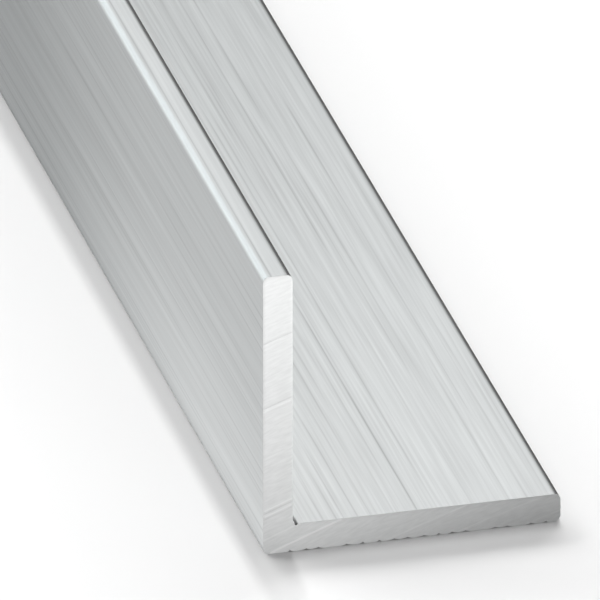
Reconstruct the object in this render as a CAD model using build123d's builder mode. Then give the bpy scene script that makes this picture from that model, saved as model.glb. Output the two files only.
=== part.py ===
"""Equal angle of extruded aluminium, in a length that it is sold in.

The bar is one piece. It lies on its base leg, and its upright leg stands on the
left edge of that leg. The section is the same all along: flat legs of one wall
thickness, four rounded toe corners, a rounded heel outside and a small fillet in
the root inside. Both ends are sawn square and left as the saw cut them.

Millimetres. +X runs along the base leg from the heel to the toe, +Y along the bar
from its front end to its far end, and +Z up the upright leg. The origin is on the
surface that the bar lies on, under the middle of its overall box.
"""

import os

from build123d import *

# Legs, measured over the outside of the heel
base_leg = 20.0
upright_leg = 20.0
wall = 2.0  # both legs

# Corners, as the die rounds them
toe_radius = 0.45  # the two corners of each leg's free edge
heel_radius = 0.45  # outside, where the legs meet
root_radius = 0.3  # inside, where the legs meet

# Bar
length = 1000.0

# Where the section stands in the frame
heel_x = -base_leg / 2
toe_x = base_leg / 2
root_x = heel_x + wall


with BuildPart() as angle_bar:
    with BuildSketch(Plane.XZ) as section:
        with BuildLine():
            Polyline(
                (heel_x, 0),
                (toe_x, 0),
                (toe_x, wall),
                (root_x, wall),
                (root_x, upright_leg),
                (heel_x, upright_leg),
                close=True,
            )
        make_face()

        base_toe = section.vertices().group_by(Axis.X)[-1]
        upright_toe = section.vertices().group_by(Axis.Y)[-1]
        fillet(base_toe + upright_toe, radius=toe_radius)

        heel = section.vertices().sort_by_distance((heel_x, 0))[0]
        fillet(heel, radius=heel_radius)

        root = section.vertices().sort_by_distance((root_x, wall))[0]
        fillet(root, radius=root_radius)
    extrude(amount=length / 2, both=True)

angle_bar.part.label = "angle_bar"

os.makedirs("parts", exist_ok=True)
export_step(angle_bar.part, "parts/angle_bar.step")
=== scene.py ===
import math

import bpy
import numpy as np
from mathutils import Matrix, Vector
from mathutils.geometry import delaunay_2d_cdt


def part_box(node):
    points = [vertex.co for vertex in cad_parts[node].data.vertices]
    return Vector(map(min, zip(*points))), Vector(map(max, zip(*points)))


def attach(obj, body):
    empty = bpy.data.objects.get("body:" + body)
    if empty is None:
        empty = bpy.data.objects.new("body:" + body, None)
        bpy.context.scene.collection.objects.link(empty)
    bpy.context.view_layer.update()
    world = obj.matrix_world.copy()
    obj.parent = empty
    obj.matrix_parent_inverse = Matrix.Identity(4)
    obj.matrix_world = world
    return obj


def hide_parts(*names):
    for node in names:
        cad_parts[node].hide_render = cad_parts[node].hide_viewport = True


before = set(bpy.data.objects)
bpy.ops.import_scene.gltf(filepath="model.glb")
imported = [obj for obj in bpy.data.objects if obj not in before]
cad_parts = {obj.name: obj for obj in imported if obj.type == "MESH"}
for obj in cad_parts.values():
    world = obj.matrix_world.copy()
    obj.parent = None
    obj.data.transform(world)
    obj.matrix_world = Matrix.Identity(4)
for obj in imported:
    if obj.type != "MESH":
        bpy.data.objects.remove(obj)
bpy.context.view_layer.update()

# ------------------------------------------------------------------ the drawn faces
# Equal angle of plain aluminium, pushed hot through a steel die and sold as it comes off
# the press. The die rounds the corners a little and draws fine straight lines along every
# face. They are a few thousandths of a millimetre deep, and come and go along the bar.
MM = 0.001  # the sizes of the bar are in millimetres, and the scene is in metres
low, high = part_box("angle_bar")
heel, toe = low.x / MM, high.x / MM
front, far = low.y / MM, high.y / MM
leg_top = high.z / MM
wall = 2.0
inner_heel = heel + wall
toe_radius = 0.45
heel_radius = 0.45
root_radius = 0.3

# The section's corners, and the faces that follow each of them anticlockwise
corners = [
    ((heel, 0), heel_radius, "heel"),
    ((toe, 0), toe_radius, "base toe, below"),
    ((toe, wall), toe_radius, "base toe, inside"),
    ((inner_heel, wall), root_radius, "root"),
    ((inner_heel, leg_top), toe_radius, "upright toe, inside"),
    ((heel, leg_top), toe_radius, "upright toe, outside"),
]
faces_between = ["underside", "base end", "base inside", "upright inside", "upright end", "outside"]

# The finest marks are scores along single lines. Those near the front end, and one along the
# whole top edge, are named: the face, the distance across it from the heel or from the top,
# where the score begins and ends behind the front of the bar, and its strength.
scores = [
    ("base inside", 10.32, -3, 33, 1.00),
    ("base inside", 17.30, 10, 64, 0.55),
    ("base inside", 11.65, 4, 62, 0.50),
    ("base inside", 14.34, 38, 90, 0.60),
    ("base inside", 6.34, -3, 16, 0.65),
    ("base inside", 9.57, -3, 28, 0.42),
    ("base inside", 14.97, 17, 50, 0.42),
    ("base inside", 15.30, 57, 110, 0.52),
    ("base inside", 5.42, -3, 12, 0.60),
    ("base inside", 19.17, -3, 22, 0.40),
    ("base inside", 12.60, 57, 95, 0.42),
    ("base inside", 12.91, 46, 68, 0.38),
    ("base inside", 7.23, -3, 18, 0.40),
    ("base inside", 18.85, 33, 54, 0.36),
    ("base inside", 16.54, -3, 20, 0.36),
    ("base inside", 13.53, 12, 29, 0.34),
    ("base inside", 13.98, -3, 10, 0.45),
    ("base inside", 4.04, -3, 7, 0.45),
    ("outside", 18.54, 23, 75, 0.40),
    ("outside", 13.83, 20, 56, 0.34),
    ("outside", 15.30, 36, 75, 0.36),
    ("outside", 11.02, -3, 30, 0.34),
    ("outside", 6.55, 30, 58, 0.40),
    ("outside", 15.96, -3, 28, 0.34),
    ("outside", 9.58, -3, 23, 0.34),
    ("outside", 4.12, 33, 53, 0.36),
    ("outside", 11.85, -3, 24, 0.28),
    ("upright end", 0.57, -3, 1003, 0.75),
]
score_half = 0.075  # from the middle of a score to its shoulder
score_depth = 0.003
score_sharpness = 1.2
score_fade = 4.0  # the length in which a score comes and goes
outside_share = 0.8  # the outside is scored less deeply than the rest

# Fainter scores lie between the named ones, and their strength wanders along the bar.
wander_from = {"base inside": 2.6, "outside": 0.8, "upright inside": 2.6}  # across each face
wander_to = 19.3
wander_spacing = 0.38
wander_shift = 0.08  # from an even place, either way
wander_clear = 0.21  # to the nearest named score
chance = np.random.default_rng(20)
wandering = {}
for face, first_place in wander_from.items():
    wandering[face] = []
    named = [place for named_face, place, _, _, _ in scores if named_face == face]
    row_shift = chance.uniform(-wander_shift, wander_shift)
    for place in np.arange(first_place, wander_to, wander_spacing) + row_shift:
        place = place + chance.uniform(-wander_shift, wander_shift)
        if all(abs(place - other) > wander_clear for other in named):
            wandering[face].append(place)

# Little nicks in the sawn edges: the distances from the heel and up, half the width and the
# depth. The saw leaves one at the root, and a row of them along the table. At the front end
# they cut into the drawn faces too.
nicks = [(2.22, wall, 0.13, 0.15)]
for place in (1.8, 2.9, 3.7, 5.6, 6.7, 7.8, 8.8, 9.7, 10.8, 11.8, 12.7, 13.6, 15.6, 16.4, 18.0, 19.0):
    nicks.append((place, 0, 0.12, 0.12))
nick_steepness = 1.3

flat_step = 0.095  # between points across a flat
coarse_steps = {"underside": 0.4, "upright inside": 0.15}  # on the two faces that show least
arc_step = 0.075  # between points round a corner
mark_clear = score_half * 1.5  # from the middle of a score or a nick to the even points


def rounded_corner(before, corner, after, radius):
    """Points round one right-angled corner of the section, and their outward directions."""
    into = (corner - before) / np.linalg.norm(corner - before)
    out = (after - corner) / np.linalg.norm(after - corner)
    centre = corner + (out - into) * radius
    turn = np.linspace(0, math.pi / 2, math.ceil(radius * math.pi / 2 / arc_step) + 1)[:, None]
    points = centre + (into * np.sin(turn) - out * np.cos(turn)) * radius
    heading = into * np.cos(turn) + out * np.sin(turn)
    return points, np.stack([heading[:, 1], -heading[:, 0]], 1)


def across_face(face, points):
    """Distances across a face, from the heel or from the top edge."""
    return leg_top - points[:, 1] if face in ("outside", "upright inside") else points[:, 0] - heel


corner_places = [np.array(place, float) for place, _, _ in corners]
arcs = []
for i, (_, radius, _) in enumerate(corners):
    before, corner, after = corner_places[i - 1], corner_places[i], corner_places[(i + 1) % 6]
    arcs.append(rounded_corner(before, corner, after, radius))

# The outline has points on the middle and shoulders of every score and nick, and even points
# between them.
outline, outward, part_of = [], [], []
for i, (arc, arc_outward) in enumerate(arcs):
    face = faces_between[i]
    start, end = arc[-1], arcs[(i + 1) % 6][0][0]
    length = np.linalg.norm(end - start)
    count = math.ceil(length / coarse_steps.get(face, flat_step))
    steps = np.arange(1, count) * length / count
    marks = [place for named_face, place, _, _, _ in scores if named_face == face]
    marks += wandering.get(face, [])
    marks += [place for place, up, _, _ in nicks if face == "underside" and up == 0]
    for mark in np.abs(np.array(marks) - across_face(face, start[None, :])[0]):
        steps = steps[np.abs(steps - mark) > mark_clear]
        steps = np.append(steps, [mark - score_half, mark, mark + score_half])
    steps = np.sort(steps)
    outline += [arc, start + (end - start) * steps[:, None] / length]
    outward += [arc_outward, np.repeat(arc_outward[-1:], len(steps), 0)]
    part_of += [corners[i][2]] * len(arc) + [face] * len(steps)
outline, outward, part_of = np.concatenate(outline), np.concatenate(outward), np.array(part_of)
lanes = len(outline)
to_next = np.linalg.norm(np.roll(outline, -1, 0) - outline, axis=1)
around = np.concatenate([[0], np.cumsum(to_next)])
perimeter = around[-1]

edge_break = 0.01  # taken off the sawn edges
near_length = 100.0  # the stretch behind the front end that has close stations
near_gap = 2.5
far_stations = 37
stations = np.concatenate([
    np.arange(front, front + near_length, near_gap),
    np.linspace(front + near_length, far, far_stations),
])
stations[0] += edge_break
stations[-1] -= edge_break
behind = stations - front
rings = len(stations)


def drawn_lines(pitch, length):
    """Smooth random heights on lines that run dead straight and fade in and out."""
    line_count = round(perimeter / pitch)
    heights = chance.normal(0, 1, (line_count, math.ceil((far - front) / length) + 2))
    line, span = around[:-1] / perimeter * line_count, behind / length
    line_low, span_low = np.floor(line).astype(int), np.floor(span).astype(int)
    across, along = line - line_low, span - span_low
    across = (across * across * (3 - 2 * across))[None, :]
    along = (along * along * (3 - 2 * along))[:, None]
    near_row, far_row = [
        heights[line_low % line_count][:, span_low + step].T * (1 - across)
        + heights[(line_low + 1) % line_count][:, span_low + step].T * across
        for step in (0, 1)
    ]
    return near_row * (1 - along) + far_row * along


die_lines = [(0.0010, 1.3, 120), (0.0007, 0.55, 50), (0.0004, 0.3, 25)]  # height, pitch, length
relief = sum(height * drawn_lines(pitch, length) for height, pitch, length in die_lines)
score = np.zeros((rings, lanes))


def cut_score(face, place, strength):
    """Cuts one line across a face at this place, as strong as given at each station."""
    off_line = (across_face(face, outline) - place) / score_half * score_sharpness
    profile = np.exp(-(off_line ** 2)) * (part_of == face)
    np.maximum(score, strength[:, None] * profile[None, :], out=score)


for face, place, begin, end, strength in scores:
    fade = np.clip((behind - begin) / score_fade, 0, 1) * np.clip((end - behind) / score_fade, 0, 1)
    cut_score(face, place, strength * fade)
wander_knots = 45  # along the bar, where the strength is drawn
wander_least, wander_most, wander_share = 0.2, 1.2, 0.45
for face, wandering_places in wandering.items():
    for place in wandering_places:
        knots = chance.normal(0, 1, wander_knots)
        strength = np.interp(behind, np.linspace(0, far - front, wander_knots), knots)
        cut_score(face, place, np.clip(strength - wander_least, 0, wander_most) * wander_share)
score[:, part_of == "outside"] *= outside_share
relief -= score_depth * score
relief -= relief.max()

nicked = np.zeros(lanes)
for place, up, half, depth in nicks:
    aside = np.hypot(outline[:, 0] - heel - place, outline[:, 1] - up)
    nicked += depth * np.clip(nick_steepness * (1 - aside / half), 0, 1)
relief[0] -= nicked

section = outline[None, :, :] + outward[None, :, :] * relief[:, :, None]
side_points = np.stack([section[:, :, 0], np.repeat(stations[:, None], lanes, 1), section[:, :, 1]], 2)
side_points = side_points.reshape(-1, 3)

lane, next_lane = np.arange(lanes), (np.arange(lanes) + 1) % lanes


def ring_faces(one, other):
    """Faces that join two rings of points round the section, given where each ring starts."""
    return np.stack([one + lane, one + next_lane, other + next_lane, other + lane], 1)


# The sides fill the lower four fifths of the surface map, with the bar's length across it.
sides_share = 0.8
map_here = around[:-1] / perimeter * sides_share
map_next = around[1:] / perimeter * sides_share
map_along = behind / (far - front)
side_faces, side_map = [], []
for ring in range(rings - 1):
    side_faces.append(ring_faces(ring * lanes, (ring + 1) * lanes))
    u_near, u_far = np.full(lanes, map_along[ring]), np.full(lanes, map_along[ring + 1])
    corners_on_map = [u_near, map_here, u_near, map_next, u_far, map_next, u_far, map_here]
    side_map.append(np.stack(corners_on_map, 1))
side_faces = np.concatenate(side_faces).tolist()
side_map = np.concatenate(side_map).reshape(-1, 2)

# ------------------------------------------------------------------ the sawn ends
# A circular saw cuts the bar square, with its arbor far below the section and to the right.
# Its teeth leave shallow arcs across the cut, a few of them deeper, and the edge is broken
# by less than a hair's breadth. Nothing is done to the ends afterwards.
saw_pitch = 0.1  # between points on the cut
arbor = np.array([heel + 74.0, -182.0])
deep_strokes = [  # distance from the arbor, half the width, height, and how bright
    (212.20, 0.08, -0.003, -0.4),
    (210.56, 0.08, -0.010, -1.9),
    (206.20, 0.08, -0.008, -2.1),
    (206.00, 0.08, 0.008, 1.4),
    (202.80, 0.09, 0.004, 0.5),
    (201.70, 0.08, -0.004, -0.4),
    (199.32, 0.08, 0.010, 2.4),
    (199.12, 0.07, -0.008, -1.7),
    (198.92, 0.08, 0.012, 2.6),
    (198.74, 0.08, -0.006, -1.1),
    (197.40, 0.08, 0.006, 1.2),
    (196.35, 0.09, 0.014, 4.6),
    (193.55, 0.08, 0.008, 1.4),
    (192.00, 0.08, 0.006, 1.1),
    (190.60, 0.08, 0.006, 1.2),
]
stroke_clear = 0.035  # between the rows of points that shape the deep strokes
sweep = np.arange(1.84, 1.98, 0.0006)  # radians round the arbor, right across the section
rim = outline - outward * (edge_break + nicked)[:, None]
grid_x, grid_z = np.meshgrid(np.arange(heel, toe, saw_pitch), np.arange(0, leg_top, saw_pitch))
inside = np.stack([grid_x.ravel(), grid_z.ravel()], 1)
from_arbor = np.linalg.norm(inside - arbor, axis=1)
for radius, half, _, _ in deep_strokes:
    outside_stroke = np.abs(from_arbor - radius) > half + stroke_clear
    inside, from_arbor = inside[outside_stroke], from_arbor[outside_stroke]
rows, kept_rows = [], []
for radius, half, _, _ in deep_strokes:
    for row in (radius - half, radius, radius + half):
        if all(abs(row - other) > stroke_clear for other in rows):
            kept_rows.append(row)
        rows.append(row)
stroke_points = [arbor + row * np.stack([np.cos(sweep), np.sin(sweep)], 1) for row in kept_rows]
inside = np.concatenate([inside] + stroke_points)

rim_clear = edge_break + saw_pitch * 0.6  # from the rim to the points inside it
nick_clear = 0.1
x, z = inside.T
right_of_heel, over_table = x > heel + rim_clear, z > rim_clear
on_base = over_table & (z < wall - rim_clear) & right_of_heel & (x < toe - rim_clear)
on_upright = over_table & (z < leg_top - rim_clear) & right_of_heel & (x < inner_heel - rim_clear)
inside = inside[on_base | on_upright]
for (arc, arc_outward), (_, radius, name) in zip(arcs, corners):
    if name != "root":
        middle = arc[0] - arc_outward[0] * radius
        across, up = (inside - middle) @ arc_outward[0], (inside - middle) @ arc_outward[-1]
        in_corner = (across > 0) & (up > 0) & (np.hypot(across, up) > radius - rim_clear)
        inside = inside[~in_corner]
for place, up, _, depth in nicks:
    inside = inside[np.hypot(inside[:, 0] - heel - place, inside[:, 1] - up) > depth + nick_clear]
flat_points = [Vector(point) for point in np.concatenate([rim, inside]).tolist()]
rim_edges = list(zip(lane.tolist(), next_lane.tolist()))
inside_only, same_point = 1, 1e-6
cut_points, _, end_faces, _, _, _ = delaunay_2d_cdt(flat_points, rim_edges, [], inside_only, same_point)
cut_points = np.array([tuple(point) for point in cut_points])

saw_waves = [(0.0009, 0.71, 1.7), (0.0005, 0.33, 2.9)]  # height, pitch, and how the pitch drifts
wave_drift = 2.0  # radians
from_arbor = np.linalg.norm(cut_points - arbor, axis=1)
cut_depth = np.zeros(len(cut_points))
for height, pitch, drift in saw_waves:
    phase = np.sin(from_arbor * drift) * wave_drift
    cut_depth += height * np.sin(from_arbor * math.tau / pitch + phase)
stroke = np.zeros(len(cut_points))
for radius, half, height, bright in deep_strokes:
    profile = np.clip(1 - np.abs(from_arbor - radius) / half, 0, 1)
    cut_depth -= height * profile
    stroke += bright * profile
cut_depth -= cut_depth.min()
cut_depth[:lanes] = 0
stroke[:lanes] = 0
front_points = np.stack([cut_points[:, 0], front + cut_depth, cut_points[:, 1]], 1)
far_points = np.stack([cut_points[:, 0], far - cut_depth, cut_points[:, 1]], 1)

# ------------------------------------------------------------------ the bar as one piece
# The drawn faces and both ends make one closed skin, because the real bar is one piece. It
# is smooth everywhere but at the sawn edges. The ends fill the top of the surface map.
front_start = len(side_points)
far_start = front_start + len(front_points)
last_ring = (rings - 1) * lanes
front_edge, far_edge = ring_faces(front_start, 0).tolist(), ring_faces(last_ring, far_start).tolist()
front_cut = front_edge + [[front_start + v for v in face] for face in end_faces]
far_cut = far_edge + [[far_start + v for v in reversed(face)] for face in end_faces]

points = np.concatenate([side_points, front_points, far_points])
cut_faces = front_cut + far_cut
mesh = bpy.data.meshes.new("mill_angle")
mesh.from_pydata((points * MM).tolist(), [], side_faces + cut_faces)

front_left, far_left, ends_bottom = 0.01, 0.51, 0.81  # where the two ends lie on the map
ends_wide, ends_tall = 0.47, 0.18
cut_map = []
for left, faces in ((front_left, front_cut), (far_left, far_cut)):
    for face in faces:
        for v in face:
            u = left + points[v, 2] * ends_wide / leg_top
            cut_map.append((u, ends_bottom + (points[v, 0] - heel) * (ends_tall / (toe - heel))))
uv = mesh.uv_layers.new(name="OFBake")
uv.data.foreach_set("uv", np.concatenate([side_map, np.array(cut_map)]).ravel())

mesh.polygons.foreach_set("use_smooth", [True] * len(mesh.polygons))
mesh.polygons.foreach_set("material_index", [0] * len(side_faces) + [1] * len(cut_faces))
sharp_pairs = set()
for start in (0, last_ring, front_start, far_start):
    for a, b in zip((start + lane).tolist(), (start + next_lane).tolist()):
        sharp_pairs.add((min(a, b), max(a, b)))
edge_ends = np.zeros(len(mesh.edges) * 2, np.int32)
mesh.edges.foreach_get("vertices", edge_ends)
edge_ends = np.sort(edge_ends.reshape(-1, 2), 1).tolist()
sharp = mesh.attributes.new("sharp_edge", "BOOLEAN", "EDGE")
sharp.data.foreach_set("value", [(a, b) in sharp_pairs for a, b in edge_ends])

# What the finishes read from the skin: painted shade, which is a dark strip along the inner toe
# corners standing in for a dark reflection, and darkening in the nicks standing in for their
# shade; how strongly each face is lined, the scores, and the saw's deep strokes.
shade_half, shade_edge = 0.40, 0.17  # half the width of a strip of painted shade, and its soft edge
shade_nick_depth = 0.06  # the depth from which a nick is wholly in painted shade
lined_faces = {"base inside": 1.2, "outside": 0.4}
lined_elsewhere = 0.8
# Painted shade: a dark strip along each inner toe corner stands in for a dark reflection, and the nicks are
# darkened where their shade would fall.
painted_shade = np.zeros((rings, lanes))
for toe_corner in ("base toe, inside", "upright toe, inside"):
    middle = around[np.flatnonzero(part_of == toe_corner)].mean()
    painted_shade += np.clip((shade_half - np.abs(around[:-1] - middle)) / shade_edge, 0, 1)
painted_shade[0] = np.maximum(painted_shade[0], np.clip(nicked / shade_nick_depth, 0, 1))
lined = np.full((rings, lanes), lined_elsewhere)
for face, strength in lined_faces.items():
    lined[:, part_of == face] = strength
on_ends = np.zeros(len(points) - front_start)
for name, values, end_values in (
    ("painted_shade", painted_shade, on_ends),
    ("lined", lined, on_ends),
    ("score", score, on_ends),
    ("stroke", np.zeros((rings, lanes)), np.concatenate([stroke, stroke])),
):
    values = np.concatenate([values.ravel(), end_values])
    mesh.attributes.new(name, "FLOAT", "POINT").data.foreach_set("value", values)

bar = bpy.data.objects.new("mill_angle", mesh)
bpy.context.collection.objects.link(bar)


class Finish:
    """A material, and short ways to add nodes to it."""

    def __init__(self, name, colour, metallic, roughness):
        self.material = bpy.data.materials.new(name)
        self.material.use_nodes = True
        self.nodes = self.material.node_tree.nodes
        self.links = self.material.node_tree.links
        self.shader = self.nodes["Principled BSDF"]
        self.set("Base Color", (*colour, 1))
        self.set("Metallic", metallic)
        self.set("Roughness", roughness)

    def set(self, socket, value):
        self.shader.inputs[socket].default_value = value

    def node(self, kind, **settings):
        made = self.nodes.new("ShaderNode" + kind)
        for name, value in settings.items():
            setattr(made, name, value)
        return made

    def link(self, source, target):
        self.links.new(source, target)

    def math(self, operation, a, b=0):
        made = self.node("Math", operation=operation)
        for socket, value in zip(made.inputs, (a, b)):
            if isinstance(value, (int, float)):
                socket.default_value = value
            else:
                self.link(value, socket)
        return made.outputs[0]

    def attribute(self, name):
        return self.node("Attribute", attribute_name=name).outputs["Fac"]

    def noise(self, place, detail):
        made = self.node("TexNoise")
        made.inputs["Scale"].default_value = 1.0
        made.inputs["Detail"].default_value = detail
        self.link(place, made.inputs["Vector"])
        return made.outputs["Fac"]

    def lines(self, across, along, detail, shift):
        """Noise on straight lines: across and along are sizes in millimetres."""
        place = self.node("Mapping")
        place.inputs["Scale"].default_value = (1 / across / MM, 1 / along / MM, 1 / across / MM)
        place.inputs["Location"].default_value = (shift, shift, shift)
        self.link(self.node("TexCoord").outputs["Object"], place.inputs["Vector"])
        return self.noise(place.outputs[0], detail)

    def spread(self, value, from_low, from_high, to_low, to_high):
        """Turns one range into another, and holds it at the ends."""
        made = self.node("MapRange")
        self.link(value, made.inputs["Value"])
        made.inputs["From Min"].default_value = from_low
        made.inputs["From Max"].default_value = from_high
        made.inputs["To Min"].default_value = to_low
        made.inputs["To Max"].default_value = to_high
        return made.outputs[0]

    def vary(self, noise, least, most):
        """The same for noise, nearly all of which lies between 0.3 and 0.7."""
        return self.spread(noise, 0.3, 0.7, least, most)

    def colour_by(self, colour, tone):
        tint = self.node("VectorMath", operation="SCALE")
        tint.inputs[0].default_value = colour
        self.link(tone, tint.inputs["Scale"])
        self.link(tint.outputs[0], self.shader.inputs["Base Color"])

    def raised_by(self, height, millimetres):
        bump = self.node("Bump")
        bump.inputs["Strength"].default_value = 1.0
        bump.inputs["Distance"].default_value = millimetres * MM
        self.link(height, bump.inputs["Height"])
        self.link(bump.outputs[0], self.shader.inputs["Normal"])


# Drawn metal: satin across the bar, because the die's lines spread the light sideways. Fine
# and sparse lines are strong inside the base, and wider bands are strong on the outside.
mill_colour = (0.771, 0.786, 0.785)
mill_roughness, roughness_range = 0.40, 0.02
fine_tone, sparse_tone, band_tone, score_tone = 0.06, 0.045, 0.042, 0.34  # shares of the colour
sparse_from, sparse_to = 0.60, 0.75  # only the top of that noise makes lines
shade_tone = 0.05  # the share of the colour that is left under painted shade
mill = Finish("mill_aluminium", mill_colour, metallic=1.0, roughness=mill_roughness)
mill.set("Anisotropic", 0.7)
mill.set("Anisotropic Rotation", 0.25)
tangent = mill.node("Tangent", direction_type="UV_MAP", uv_map="OFBake")
mill.link(tangent.outputs[0], mill.shader.inputs["Tangent"])
broad = mill.lines(across=1.3, along=60, detail=4, shift=3.1)
fine = mill.lines(across=0.21, along=14, detail=2, shift=7.7)
sparse = mill.lines(across=0.33, along=26, detail=1, shift=12.3)
banded = mill.lines(across=0.50, along=50, detail=1, shift=5.3)
how_lined = mill.attribute("lined")
dark_lines = mill.spread(sparse, sparse_from, sparse_to, 0.0, sparse_tone)
fine_lines = mill.math("SUBTRACT", mill.vary(fine, -fine_tone, fine_tone), dark_lines)
fine_lines = mill.math("MULTIPLY", fine_lines, how_lined)
how_banded = mill.math("SUBTRACT", 2 * lined_elsewhere, how_lined)
bands = mill.math("MULTIPLY", mill.vary(banded, -band_tone, band_tone), how_banded)
dark_scores = mill.math("MULTIPLY", mill.attribute("score"), score_tone)
streaks = mill.math("SUBTRACT", mill.math("ADD", fine_lines, bands), dark_scores)
tone = mill.math("ADD", streaks, 1.0)
# Painted shade darkens the colour in the inner toe corners and in the nicks.
tone = mill.math("MULTIPLY", tone, mill.spread(mill.attribute("painted_shade"), 0, 1, 1.0, shade_tone))
mill.colour_by(mill_colour, tone)
rough = mill.vary(broad, mill_roughness - roughness_range, mill_roughness + roughness_range)
mill.link(rough, mill.shader.inputs["Roughness"])
mill.raised_by(fine, millimetres=0.002)

# Sawn metal: brighter and not satin, with a grain of short arcs round the saw's arbor.
sawn_colour = (0.87, 0.88, 0.878)
sawn_roughness = 0.38
grain_pitch = 0.16  # from arc to arc
grain_cells = 220.0  # along an arc, in each radian round the arbor
grain_tone, stroke_tone = 0.045, 0.07  # shares of the colour
sawn = Finish("sawn_aluminium", sawn_colour, metallic=1.0, roughness=sawn_roughness)
from_middle = sawn.node("VectorMath", operation="SUBTRACT")
sawn.link(sawn.node("TexCoord").outputs["Object"], from_middle.inputs[0])
from_middle.inputs[1].default_value = (arbor[0] * MM, 0, arbor[1] * MM)
apart = sawn.node("SeparateXYZ")
sawn.link(from_middle.outputs[0], apart.inputs[0])
squares = [sawn.math("MULTIPLY", apart.outputs[axis], apart.outputs[axis]) for axis in ("X", "Z")]
outwards = sawn.math("SQRT", sawn.math("ADD", *squares))
turn = sawn.math("ARCTAN2", apart.outputs["Z"], apart.outputs["X"])
swept = sawn.node("CombineXYZ")
sawn.link(sawn.math("DIVIDE", outwards, grain_pitch * MM), swept.inputs["X"])
sawn.link(sawn.math("MULTIPLY", turn, grain_cells), swept.inputs["Y"])
grain = sawn.noise(swept.outputs[0], detail=2)
bright_strokes = sawn.math("MULTIPLY", sawn.attribute("stroke"), stroke_tone)
grained = sawn.vary(grain, 1 - grain_tone, 1 + grain_tone)
sawn.colour_by(sawn_colour, sawn.math("ADD", grained, bright_strokes))
rough = sawn.vary(grain, sawn_roughness - roughness_range, sawn_roughness + roughness_range)
sawn.link(rough, sawn.shader.inputs["Roughness"])
sawn.raised_by(grain, millimetres=0.003)

mesh.materials.append(mill.material)
mesh.materials.append(sawn.material)

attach(bar, "root")
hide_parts("angle_bar")


# ------------------------------------------------------------------ the table
# The bar lies on a wide table covered in white paper, which fades to plain white some way
# off. Seen only in the metal, the paper glows in a painted reflection: bright before the front
# end and close beside the bar, dark further along, and brighter again from 0.15 m away, with a
# painted shadow in the last half millimetre beside the bar. Distances here are in metres.
reach = 60.0
fades_from, fades_to = 1.5, 4.0
floor_mesh = bpy.data.meshes.new("floor")
floor_corners = [(-reach, -reach, 0), (reach, -reach, 0), (reach, reach, 0), (-reach, reach, 0)]
floor_mesh.from_pydata(floor_corners, [], [(0, 1, 2, 3)])
floor = bpy.data.objects.new("floor", floor_mesh)
bpy.context.collection.objects.link(floor)

# Each range says how brightly a stretch of the table glows in the painted reflection: from
# where, to where, and the levels at the two.
level_beside = 0.09
past_the_end = (0.014, 0.054, 0.478, 0)
near_the_side = (0, 0.012, 0.33, 0)
painted_shadow_by_side = (0, 0.0005, 0.15, 1)  # painted shadow: a share of the rest, in the last half millimetre
before_the_end = (-0.060, 0, 0.90, 0)
close_before_the_end = (-0.006, 0, 0.09, 0)
across_before_the_end = (0.003, 0.0195, 0.54, 0.27)
further_away = (0.15, 0.40, 0, 0.45)
slope = 4.41  # how much faster it falls off across the bar than along it

paper_colour = (0.8, 0.8, 0.8)
paper = Finish("white_paper", paper_colour, metallic=0.0, roughness=1.0)
paper.set("Specular IOR Level", 0.0)
paper.set("Emission Color", (1, 1, 1, 1))
position = paper.node("NewGeometry").outputs["Position"]
apart = paper.node("SeparateXYZ")
paper.link(position, apart.inputs[0])
beyond = paper.math("SUBTRACT", apart.outputs["Y"], front * MM)
to_right = paper.math("SUBTRACT", apart.outputs["X"], heel * MM)
slant = paper.math("ADD", beyond, paper.math("MULTIPLY", to_right, slope))
from_side = paper.math("SUBTRACT", paper.math("ABSOLUTE", apart.outputs["X"]), toe * MM)
beside = paper.math("ADD", paper.spread(slant, *past_the_end), level_beside)
beside = paper.math("ADD", beside, paper.spread(from_side, *near_the_side))
beside = paper.math("MULTIPLY", beside, paper.spread(from_side, *painted_shadow_by_side))
before = paper.math("ADD", paper.spread(beyond, *before_the_end), paper.spread(beyond, *close_before_the_end))
before = paper.math("ADD", before, paper.spread(to_right, *across_before_the_end))
in_front = paper.math("LESS_THAN", beyond, 0)
painted_glow = paper.math("MULTIPLY", in_front, paper.math("SUBTRACT", before, beside))
painted_glow = paper.math("ADD", beside, painted_glow)
from_front = paper.node("VectorMath", operation="DISTANCE")
paper.link(position, from_front.inputs[0])
from_front.inputs[1].default_value = (0, front * MM, 0)
painted_glow = paper.math("ADD", painted_glow, paper.spread(from_front.outputs["Value"], *further_away))
# The painted reflection: the paper glows in this pattern for glossy and transmission rays only, though it is
# no lamp.
painted_reflection = paper.node("Emission")
painted_reflection.inputs["Color"].default_value = (1, 1, 1, 1)
paper.link(painted_glow, painted_reflection.inputs["Strength"])
away = paper.node("VectorMath", operation="LENGTH")
paper.link(position, away.inputs[0])
faded = paper.spread(away.outputs["Value"], fades_from, fades_to, 0.0, 1.0)
paper.link(faded, paper.shader.inputs["Emission Strength"])
ray = paper.node("LightPath")
in_metal = paper.math("MAXIMUM", ray.outputs["Is Glossy Ray"], ray.outputs["Is Transmission Ray"])
mix = paper.node("MixShader")
paper.link(in_metal, mix.inputs[0])
paper.link(paper.shader.outputs[0], mix.inputs[1])
paper.link(painted_reflection.outputs[0], mix.inputs[2])
paper.link(mix.outputs[0], paper.nodes["Material Output"].inputs["Surface"])
floor_mesh.materials.append(paper.material)
paper.material.cycles.emission_sampling = "NONE"

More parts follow.
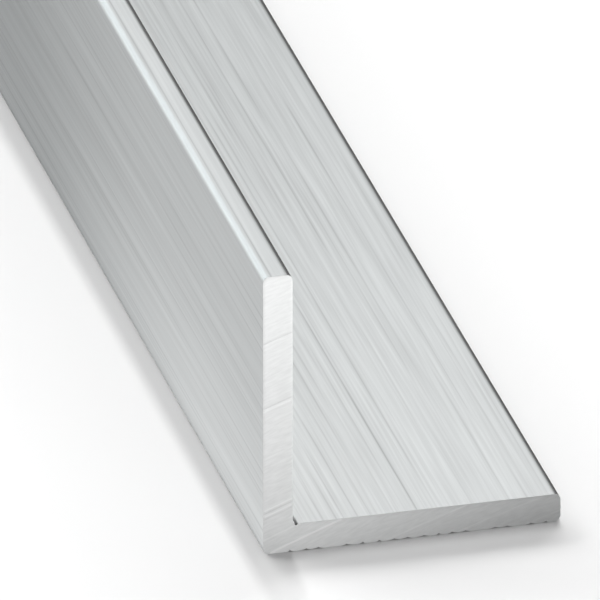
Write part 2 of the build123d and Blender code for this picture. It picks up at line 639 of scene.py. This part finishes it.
# ------------------------------------------------------------------ the light
# Soft boxes stand round the table. Four light the table alone, and six others and two small
# cards near the front end show only in the metal. Two of them, behind, are a little blue. The
# room is dim, but plain white to the camera.
dim_room = 0.2
world = bpy.data.worlds.new("studio")
bpy.context.scene.world = world
world.use_nodes = True
sky_nodes, sky_links = world.node_tree.nodes, world.node_tree.links
sky = sky_nodes["Background"]
sky.inputs["Color"].default_value = (1, 1, 1, 1)
seen = sky_nodes.new("ShaderNodeLightPath")
sky_level = sky_nodes.new("ShaderNodeMapRange")
sky_level.inputs["To Min"].default_value = dim_room
sky_level.inputs["To Max"].default_value = 1.0
sky_links.new(seen.outputs["Is Camera Ray"], sky_level.inputs["Value"])
sky_links.new(sky_level.outputs[0], sky.inputs["Strength"])


def soft_box(name, centre, azimuth, elevation, away, wide, tall, level, colour, shows_in_metal):
    """A flat lamp facing a place: degrees round from the far end and up, metres, brightness."""
    lamp = bpy.data.lights.new(name, "AREA")
    lamp.shape = "RECTANGLE"
    lamp.size, lamp.size_y = wide, tall
    lamp.color = colour
    lamp.energy = math.pi * wide * tall * level
    box = bpy.data.objects.new(name, lamp)
    bpy.context.collection.objects.link(box)
    azimuth, elevation = math.radians(azimuth), math.radians(elevation)
    flat = math.cos(elevation)
    aim = Vector((math.sin(azimuth) * flat, math.cos(azimuth) * flat, math.sin(elevation)))
    box.location = Vector(centre) + aim * away
    box.rotation_euler = (elevation - math.pi / 2, 0, -azimuth)
    box.visible_camera = False
    box.visible_glossy = shows_in_metal
    box.visible_diffuse = not shows_in_metal


middle_of_bar = (0, 0, 0)
plain, bluish = (1, 1, 1), (0.94, 1.01, 1.03)
# Name, what it faces, degrees round and up, metres away, width, height, brightness, colour
table_boxes = [
    ("strip_over_table", (0.367, 1.88, 0), 0, 90, 6.0, 0.294, 4.96, 38.5, plain),
    ("box_behind_left", middle_of_bar, -39, 28.3, 9.0, 9.13, 2.47, 12.5, plain),
    ("box_behind_right", middle_of_bar, 15, 28.3, 9.0, 9.13, 2.47, 12.2, plain),
    ("box_before", middle_of_bar, 180, 10, 9.0, 10.0, 2.0, 4.0, plain),
]
metal_boxes = [
    ("box_far_left", middle_of_bar, -42, 12, 9.0, 5.85, 3.17, 1.6, bluish),
    ("box_behind", middle_of_bar, -10, 24, 9.0, 3.2, 2.8, 1.75, bluish),
    ("box_far_right", middle_of_bar, 45, 24, 9.0, 6.0, 5.0, 2.5, plain),
    ("box_right", middle_of_bar, 90, 26, 9.0, 9.17, 8.78, 1.3, plain),
    ("box_top", middle_of_bar, 0, 90, 9.0, 8.0, 8.0, 0.6, plain),
    ("box_front", middle_of_bar, 180, 34, 9.0, 16.0, 7.6, 0.5, plain),
    ("card_over_bar", (0.09, -0.135, 0), 0, 90, 0.2, 0.2, 0.1, 0.7, plain),
    ("card_by_end", (0.03, -0.40, 0), 0, 90, 0.06, 0.10, 0.08, 0.17, plain),
]
for box in table_boxes:
    soft_box(*box, shows_in_metal=False)
for box in metal_boxes:
    soft_box(*box, shows_in_metal=True)

# ------------------------------------------------------------------ the camera
# It looks along the bar from 1.8 m off its front end, a little from the left and from
# above, through a long lens. It is aimed near the top of the upright leg's front end.
azimuth, elevation = math.radians(-14.381), math.radians(25.865)
distance = 1.775  # metres
aim_right, aim_up = 2.479, 18.102  # from the heel and from the table
picture_side = 600  # pixels
focal_pixels = 27433.0
sensor = 36.0
camera_data = bpy.data.cameras.new("camera")
camera = bpy.data.objects.new("camera", camera_data)
bpy.context.collection.objects.link(camera)
bpy.context.scene.camera = camera
flat = math.cos(elevation)
back = Vector((math.sin(azimuth) * flat, -math.cos(azimuth) * flat, math.sin(elevation)))
target = Vector((heel + aim_right, front, aim_up)) * MM
camera.location = target + back * distance
camera.rotation_mode = "QUATERNION"
camera.rotation_quaternion = (-back).to_track_quat("-Z", "Y")
camera_data.sensor_width = sensor
camera_data.lens = sensor * focal_pixels / picture_side
camera_data.clip_start, camera_data.clip_end = 0.1, 100

scene = bpy.context.scene
scene.view_settings.view_transform = "Standard"
